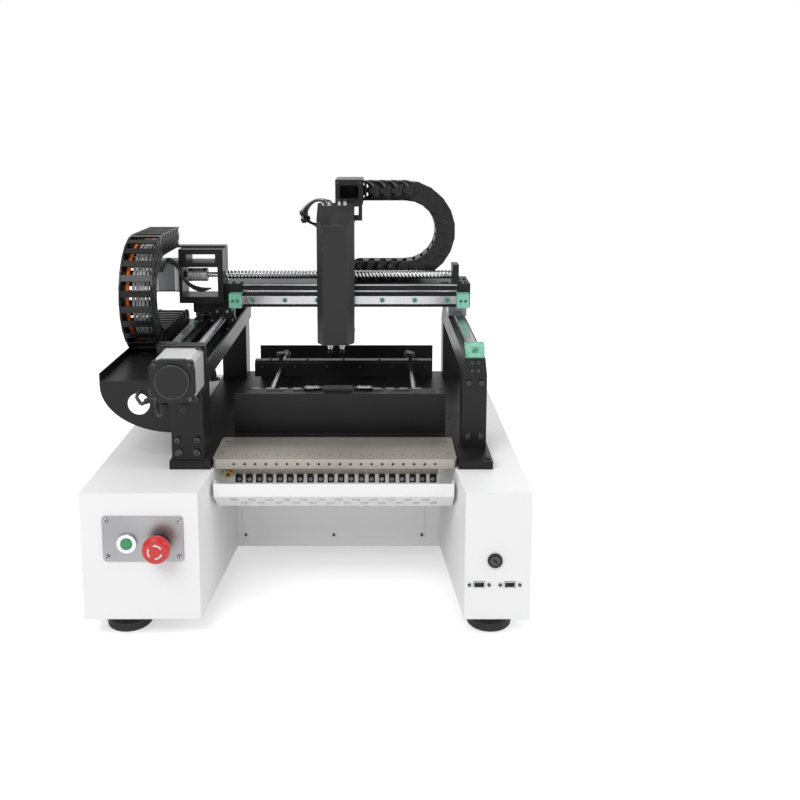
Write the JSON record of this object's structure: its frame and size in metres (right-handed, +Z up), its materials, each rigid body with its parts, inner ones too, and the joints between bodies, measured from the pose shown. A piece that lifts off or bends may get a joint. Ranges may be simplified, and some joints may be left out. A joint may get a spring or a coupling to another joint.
{
  "type": "desktop pick and place machine",
  "caption": "Desktop pick and place machine: a gantry with a two-nozzle head on ball screws over a board holder, with a feeder plate in front.",
  "frame": {"origin": "on the floor, under the middle of the whole machine's box", "axes": "+X to the operator's right, +Y to the back, +Z up"},
  "size_m": [0.64, 0.674, 0.6411],
  "materials": {
    "white_paint": "satin",
    "bare_sheet": "satin",
    "black_anodised": "satin",
    "black_sheet": "satin",
    "dark_cover": "satin",
    "feeder_aluminium": "matte",
    "rail_steel": "polished",
    "block_steel": "satin",
    "screw_steel": "satin",
    "bezel_chrome": "polished",
    "brass_fitting": "polished",
    "black_plastic": "satin",
    "chain_plastic": "satin",
    "foot_rubber": "matte",
    "green_rubber": "translucent",
    "motor_silver": "satin",
    "motor_grey": "satin",
    "green_lens": "gloss",
    "red_plastic": "satin",
    "port_steel": "satin",
    "supply_case": "satin",
    "circuit_board": "satin",
    "pump_metal": "satin"
  },
  "bodies": {
    "base": {"base_shell": "white_paint", "bottom_cover": "bare_sheet", "gap_panel": "white_paint", "cover_screws": "screw_steel", "foot_pads": "foot_rubber", "foot_cups": "screw_steel", "bed_plate": "black_anodised", "feeder_plate": "feeder_aluminium", "connector_bar": "feeder_aluminium", "feeder_connectors": "black_plastic", "tape_tray": "white_paint", "air_fitting": "brass_fitting", "frame_posts": "black_anodised", "side_beams": "black_anodised", "y_rails": "rail_steel", "rail_bumpers": "green_rubber", "y_motor_body": "motor_silver", "y_motor_cap": "black_plastic", "y_screw_supports": "black_anodised", "chain_tray": "black_sheet", "y_chain_lower_run": "chain_plastic", "board_plates": "black_anodised", "guide_rods": "rail_steel", "fixed_board_rail": "feeder_aluminium", "control_plate": "bare_sheet", "start_bezel": "bezel_chrome", "estop_body": "black_plastic", "key_switch_body": "black_plastic", "usb_ports": "port_steel", "power_inlet": "black_plastic", "power_supply": "supply_case", "control_board": "circuit_board", "vacuum_pump": "pump_metal"},
    "start_button": {"start_button": "green_lens"},
    "estop_stem": {"estop_stem": "screw_steel"},
    "estop_head": {"estop_head": "red_plastic"},
    "key_barrel": {"key_barrel": "screw_steel"},
    "board_rail": {"moving_board_rail": "black_anodised"},
    "y_screw": {"y_screw": "rail_steel"},
    "gantry": {"gantry_beam": "black_anodised", "x_rail": "rail_steel", "y_carriages": "block_steel", "left_carriage": "black_anodised", "x_motor": "motor_grey", "x_screw_supports": "black_anodised", "x_bumpers": "green_rubber", "x_chain_lower_run": "chain_plastic"},
    "x_screw": {"x_screw": "rail_steel"},
    "y_chain_bend": {"y_chain_bend": "chain_plastic"},
    "y_chain_end": {"y_chain_upper_run": "chain_plastic"},
    "x_chain_bend": {"x_chain_bend": "chain_plastic"},
    "x_chain_end": {"x_chain_upper_run": "chain_plastic"},
    "head": {"head_carriage": "black_anodised", "head_cover": "dark_cover", "x_chain_bracket": "black_anodised", "z_drive": "black_plastic"},
    "left_slide": {"left_nozzle_slide": "block_steel"},
    "right_slide": {"right_nozzle_slide": "block_steel"},
    "left_nozzle": {"left_nozzle": "rail_steel"},
    "right_nozzle": {"right_nozzle": "rail_steel"}
  },
  "joints": [
    {"name": "gantry_y", "type": "slide", "parent": "base", "child": "gantry", "axis": [0, 1, 0], "range_m": [-0.25, 0.06]},
    {"name": "y_screw_spin", "type": "hinge", "parent": "base", "child": "y_screw", "pos_m": [-0.185, -0.005, 0.381], "axis": [0, 1, 0], "range_deg": [-1080.01, 4500.01]},
    {"name": "y_chain_bend_slide", "type": "slide", "parent": "base", "child": "y_chain_bend", "axis": [0, 1, 0], "range_m": [-0.125, 0.03], "deforming": ["y_chain_lower_run"]},
    {"name": "y_chain_end_slide", "type": "slide", "parent": "y_chain_bend", "child": "y_chain_end", "axis": [0, 1, 0], "range_m": [-0.125, 0.03], "deforming": ["y_chain_upper_run"]},
    {"name": "head_x", "type": "slide", "parent": "gantry", "child": "head", "axis": [1, 0, 0], "range_m": [-0.132, 0.15]},
    {"name": "x_screw_spin", "type": "hinge", "parent": "gantry", "child": "x_screw", "pos_m": [0, 0.153, 0.463], "axis": [1, 0, 0], "range_deg": [-2700.01, 2376.01]},
    {"name": "x_chain_bend_slide", "type": "slide", "parent": "gantry", "child": "x_chain_bend", "axis": [1, 0, 0], "range_m": [-0.066, 0.075], "deforming": ["x_chain_lower_run"]},
    {"name": "x_chain_end_slide", "type": "slide", "parent": "x_chain_bend", "child": "x_chain_end", "axis": [1, 0, 0], "range_m": [-0.066, 0.075], "deforming": ["x_chain_upper_run"]},
    {"name": "left_nozzle_z", "type": "slide", "parent": "head", "child": "left_slide", "axis": [0, 0, 1], "range_m": [-0.024, 0.024]},
    {"name": "right_nozzle_z", "type": "slide", "parent": "head", "child": "right_slide", "axis": [0, 0, 1], "range_m": [-0.024, 0.024]},
    {"name": "left_nozzle_spin", "type": "hinge", "parent": "left_slide", "child": "left_nozzle", "pos_m": [0.0175, 0.079, 0.4], "axis": [0, 0, 1], "continuous": true},
    {"name": "right_nozzle_spin", "type": "hinge", "parent": "right_slide", "child": "right_nozzle", "pos_m": [0.0385, 0.079, 0.4], "axis": [0, 0, 1], "continuous": true},
    {"name": "board_rail_slide", "type": "slide", "parent": "base", "child": "board_rail", "axis": [0, 1, 0], "range_m": [-0.15, 0.08]},
    {"name": "start_button_press", "type": "slide", "parent": "base", "child": "start_button", "axis": [0, 1, 0], "range_m": [0, 0.003], "stiffness_N_per_m": 400, "springref_m": -0.002},
    {"name": "estop_push", "type": "slide", "parent": "base", "child": "estop_stem", "axis": [0, 1, 0], "range_m": [0, 0.005]},
    {"name": "estop_twist", "type": "hinge", "parent": "estop_stem", "child": "estop_head", "pos_m": [-0.2073, -0.325, 0.149], "axis": [0, 1, 0], "range_deg": [0, 40], "stiffness_Nm_per_rad": 0.05},
    {"name": "key_turn", "type": "hinge", "parent": "base", "child": "key_barrel", "pos_m": [0.269, -0.3, 0.122], "axis": [0, 1, 0], "range_deg": [0, 90]}
  ],
  "couplings": [
    {"joint": "y_screw_spin", "follows": "gantry_y", "rad_per_m": -314.16},
    {"joint": "y_chain_bend_slide", "follows": "gantry_y", "ratio": 0.5},
    {"joint": "y_chain_end_slide", "follows": "gantry_y", "ratio": 0.5},
    {"joint": "x_screw_spin", "follows": "head_x", "rad_per_m": -314.16},
    {"joint": "x_chain_bend_slide", "follows": "head_x", "ratio": 0.5},
    {"joint": "x_chain_end_slide", "follows": "head_x", "ratio": 0.5},
    {"joint": "right_nozzle_z", "follows": "left_nozzle_z", "ratio": -1}
  ]
}
